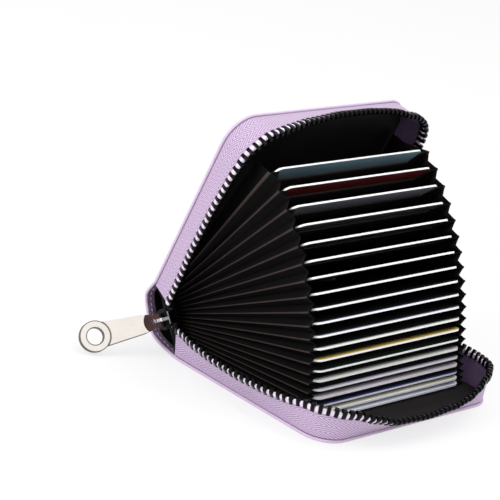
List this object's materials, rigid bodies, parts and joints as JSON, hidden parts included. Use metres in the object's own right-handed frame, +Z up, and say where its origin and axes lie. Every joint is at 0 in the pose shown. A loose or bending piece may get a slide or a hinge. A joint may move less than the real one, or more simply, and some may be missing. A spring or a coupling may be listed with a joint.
{
  "type": "zip card wallet",
  "caption": "Zip-round card wallet in pebbled leather, open on its back cover, with an accordion of card pockets, a zip with a ring puller, and cards in place.",
  "frame": {"origin": "centre of the back cover's outer face, which lies flat on the table", "axes": "+X from the spine to the fore edge of the back cover, +Y along the spine away from the zip slider, +Z up out of the back cover"},
  "size_m": [0.1076, 0.141, 0.0997],
  "materials": {
    "lilac_leather": "pebbled, satin pearl",
    "lilac_tape": "twill weave",
    "stiffener_board": "matt",
    "black_lining": "matt",
    "accordion_cloth": "matt",
    "gunmetal": "dark plated, glossy",
    "brushed_nickel": "brushed",
    "card_plastic": "satin"
  },
  "bodies": {
    "back_cover": {"back_cover_leather": "lilac_leather", "back_cover_board": "stiffener_board", "back_cover_lining": "black_lining", "back_cover_zip_tape": "lilac_tape", "back_cover_zip_teeth": "gunmetal", "back_tape_end": "lilac_tape"},
    "spine": {"spine_leather": "lilac_leather", "spine_board": "stiffener_board", "spine_lining": "black_lining", "accordion_web": "accordion_cloth", "near_gusset": "accordion_cloth", "far_gusset": "accordion_cloth"},
    "front_cover": {"front_cover_leather": "lilac_leather", "front_cover_board": "stiffener_board", "front_cover_lining": "black_lining", "front_cover_zip_tape": "lilac_tape", "front_cover_zip_teeth": "gunmetal", "front_tape_end": "lilac_tape"},
    "pocket_01": {"pocket_wall_01": "accordion_cloth", "card_01": "card_plastic"},
    "pocket_02": {"pocket_wall_02": "accordion_cloth", "card_02": "card_plastic"},
    "pocket_03": {"pocket_wall_03": "accordion_cloth", "card_03": "card_plastic"},
    "pocket_04": {"pocket_wall_04": "accordion_cloth", "card_04": "card_plastic"},
    "pocket_05": {"pocket_wall_05": "accordion_cloth", "card_05": "card_plastic"},
    "pocket_06": {"pocket_wall_06": "accordion_cloth", "card_06": "card_plastic"},
    "pocket_07": {"pocket_wall_07": "accordion_cloth", "card_07": "card_plastic"},
    "pocket_08": {"pocket_wall_08": "accordion_cloth", "card_08": "card_plastic"},
    "pocket_09": {"pocket_wall_09": "accordion_cloth", "card_09": "card_plastic"},
    "pocket_10": {"pocket_wall_10": "accordion_cloth", "card_10": "card_plastic"},
    "pocket_11": {"pocket_wall_11": "accordion_cloth", "card_11": "card_plastic"},
    "pocket_12": {"pocket_wall_12": "accordion_cloth", "card_12": "card_plastic"},
    "pocket_13": {"pocket_wall_13": "accordion_cloth", "card_13": "card_plastic"},
    "pocket_14": {"pocket_wall_14": "accordion_cloth", "card_14": "card_plastic"},
    "pocket_15": {"pocket_wall_15": "accordion_cloth", "card_15": "card_plastic"},
    "pocket_16": {"pocket_wall_16": "accordion_cloth", "card_16": "card_plastic"},
    "pocket_17": {"pocket_wall_17": "accordion_cloth", "card_17": "card_plastic"},
    "pocket_18": {"pocket_wall_18": "accordion_cloth", "card_18": "card_plastic"},
    "pocket_19": {"pocket_wall_19": "accordion_cloth", "card_19": "card_plastic"},
    "pocket_20": {"pocket_wall_20": "accordion_cloth", "card_20": "card_plastic"},
    "slider": {"zip_slider": "gunmetal"},
    "puller": {"zip_puller": "brushed_nickel"}
  },
  "joints": [
    {"name": "spine_fold", "type": "hinge", "parent": "back_cover", "child": "spine", "pos_m": [-0.038, 0, 0], "axis": [0, -1, 0], "range_deg": [-37.85, 4], "deforming": ["near_gusset", "far_gusset", "back_tape_end", "front_tape_end"]},
    {"name": "front_cover_fold", "type": "hinge", "parent": "spine", "child": "front_cover", "pos_m": [-0.05549, 0, 0.0225], "axis": [0, -1, 0], "range_deg": [-37.85, 4]},
    {"name": "pocket_01_fold", "type": "hinge", "parent": "spine", "child": "pocket_01", "pos_m": [-0.05079, 0, 0.02167], "axis": [0, -1, 0], "range_deg": [-23.45, 2.48]},
    {"name": "pocket_02_fold", "type": "hinge", "parent": "spine", "child": "pocket_02", "pos_m": [-0.05007, 0, 0.02075], "axis": [0, -1, 0], "range_deg": [-17.99, 1.9]},
    {"name": "pocket_03_fold", "type": "hinge", "parent": "spine", "child": "pocket_03", "pos_m": [-0.04935, 0, 0.01982], "axis": [0, -1, 0], "range_deg": [-12.78, 1.35]},
    {"name": "pocket_04_fold", "type": "hinge", "parent": "spine", "child": "pocket_04", "pos_m": [-0.04863, 0, 0.0189], "axis": [0, -1, 0], "range_deg": [-7.8, 0.82]},
    {"name": "pocket_05_fold", "type": "hinge", "parent": "spine", "child": "pocket_05", "pos_m": [-0.04792, 0, 0.01798], "axis": [0, -1, 0], "range_deg": [-3.07, 0.33]},
    {"name": "pocket_06_fold", "type": "hinge", "parent": "spine", "child": "pocket_06", "pos_m": [-0.0472, 0, 0.01705], "axis": [0, -1, 0], "range_deg": [-0.15, 1.42]},
    {"name": "pocket_07_fold", "type": "hinge", "parent": "spine", "child": "pocket_07", "pos_m": [-0.04648, 0, 0.01613], "axis": [0, -1, 0], "range_deg": [-0.6, 5.67]},
    {"name": "pocket_08_fold", "type": "hinge", "parent": "spine", "child": "pocket_08", "pos_m": [-0.04576, 0, 0.0152], "axis": [0, -1, 0], "range_deg": [-1.02, 9.67]},
    {"name": "pocket_09_fold", "type": "hinge", "parent": "spine", "child": "pocket_09", "pos_m": [-0.04505, 0, 0.01428], "axis": [0, -1, 0], "range_deg": [-1.42, 13.44]},
    {"name": "pocket_10_fold", "type": "hinge", "parent": "spine", "child": "pocket_10", "pos_m": [-0.04433, 0, 0.01336], "axis": [0, -1, 0], "range_deg": [-1.79, 16.96]},
    {"name": "pocket_11_fold", "type": "hinge", "parent": "spine", "child": "pocket_11", "pos_m": [-0.04361, 0, 0.01243], "axis": [0, -1, 0], "range_deg": [-2.14, 20.23]},
    {"name": "pocket_12_fold", "type": "hinge", "parent": "spine", "child": "pocket_12", "pos_m": [-0.04289, 0, 0.01151], "axis": [0, -1, 0], "range_deg": [-2.46, 23.27]},
    {"name": "pocket_13_fold", "type": "hinge", "parent": "spine", "child": "pocket_13", "pos_m": [-0.04217, 0, 0.01059], "axis": [0, -1, 0], "range_deg": [-2.75, 26.07]},
    {"name": "pocket_14_fold", "type": "hinge", "parent": "spine", "child": "pocket_14", "pos_m": [-0.04146, 0, 0.00966], "axis": [0, -1, 0], "range_deg": [-3.02, 28.62]},
    {"name": "pocket_15_fold", "type": "hinge", "parent": "spine", "child": "pocket_15", "pos_m": [-0.04074, 0, 0.00874], "axis": [0, -1, 0], "range_deg": [-3.27, 30.93]},
    {"name": "pocket_16_fold", "type": "hinge", "parent": "spine", "child": "pocket_16", "pos_m": [-0.04002, 0, 0.00782], "axis": [0, -1, 0], "range_deg": [-3.49, 33]},
    {"name": "pocket_17_fold", "type": "hinge", "parent": "spine", "child": "pocket_17", "pos_m": [-0.0393, 0, 0.00689], "axis": [0, -1, 0], "range_deg": [-3.68, 34.82]},
    {"name": "pocket_18_fold", "type": "hinge", "parent": "spine", "child": "pocket_18", "pos_m": [-0.03858, 0, 0.00597], "axis": [0, -1, 0], "range_deg": [-3.85, 36.41]},
    {"name": "pocket_19_fold", "type": "hinge", "parent": "spine", "child": "pocket_19", "pos_m": [-0.03787, 0, 0.00504], "axis": [0, -1, 0], "range_deg": [-3.99, 37.75]},
    {"name": "pocket_20_fold", "type": "hinge", "parent": "spine", "child": "pocket_20", "pos_m": [-0.03715, 0, 0.00412], "axis": [0, -1, 0], "range_deg": [-4.11, 38.85]},
    {"name": "slider_travel", "type": "slide", "parent": "spine", "child": "slider", "axis": [0.7896, 0, 0.6136], "range_m": [-0.00191, 0.01801]},
    {"name": "puller_swing", "type": "hinge", "parent": "slider", "child": "puller", "pos_m": [-0.04358, -0.0562, 0.01371], "axis": [0.6136, 0, -0.7896], "range_deg": [-121, 59]}
  ],
  "couplings": [
    {"joint": "front_cover_fold", "follows": "spine_fold", "ratio": 1},
    {"joint": "pocket_01_fold", "follows": "spine_fold", "ratio": 0.61953},
    {"joint": "pocket_02_fold", "follows": "spine_fold", "ratio": 0.47533},
    {"joint": "pocket_03_fold", "follows": "spine_fold", "ratio": 0.33753},
    {"joint": "pocket_04_fold", "follows": "spine_fold", "ratio": 0.20613},
    {"joint": "pocket_05_fold", "follows": "spine_fold", "ratio": 0.081123},
    {"joint": "pocket_06_fold", "follows": "spine_fold", "ratio": -0.037487},
    {"joint": "pocket_07_fold", "follows": "spine_fold", "ratio": -0.1497},
    {"joint": "pocket_08_fold", "follows": "spine_fold", "ratio": -0.25552},
    {"joint": "pocket_09_fold", "follows": "spine_fold", "ratio": -0.35494},
    {"joint": "pocket_10_fold", "follows": "spine_fold", "ratio": -0.44797},
    {"joint": "pocket_11_fold", "follows": "spine_fold", "ratio": -0.53459},
    {"joint": "pocket_12_fold", "follows": "spine_fold", "ratio": -0.61483},
    {"joint": "pocket_13_fold", "follows": "spine_fold", "ratio": -0.68866},
    {"joint": "pocket_14_fold", "follows": "spine_fold", "ratio": -0.7561},
    {"joint": "pocket_15_fold", "follows": "spine_fold", "ratio": -0.81715},
    {"joint": "pocket_16_fold", "follows": "spine_fold", "ratio": -0.87179},
    {"joint": "pocket_17_fold", "follows": "spine_fold", "ratio": -0.92005},
    {"joint": "pocket_18_fold", "follows": "spine_fold", "ratio": -0.9619},
    {"joint": "pocket_19_fold", "follows": "spine_fold", "ratio": -0.99736},
    {"joint": "pocket_20_fold", "follows": "spine_fold", "ratio": -1.0264},
    {"joint": "slider_travel", "follows": "spine_fold", "m_per_rad": -0.027248}
  ]
}
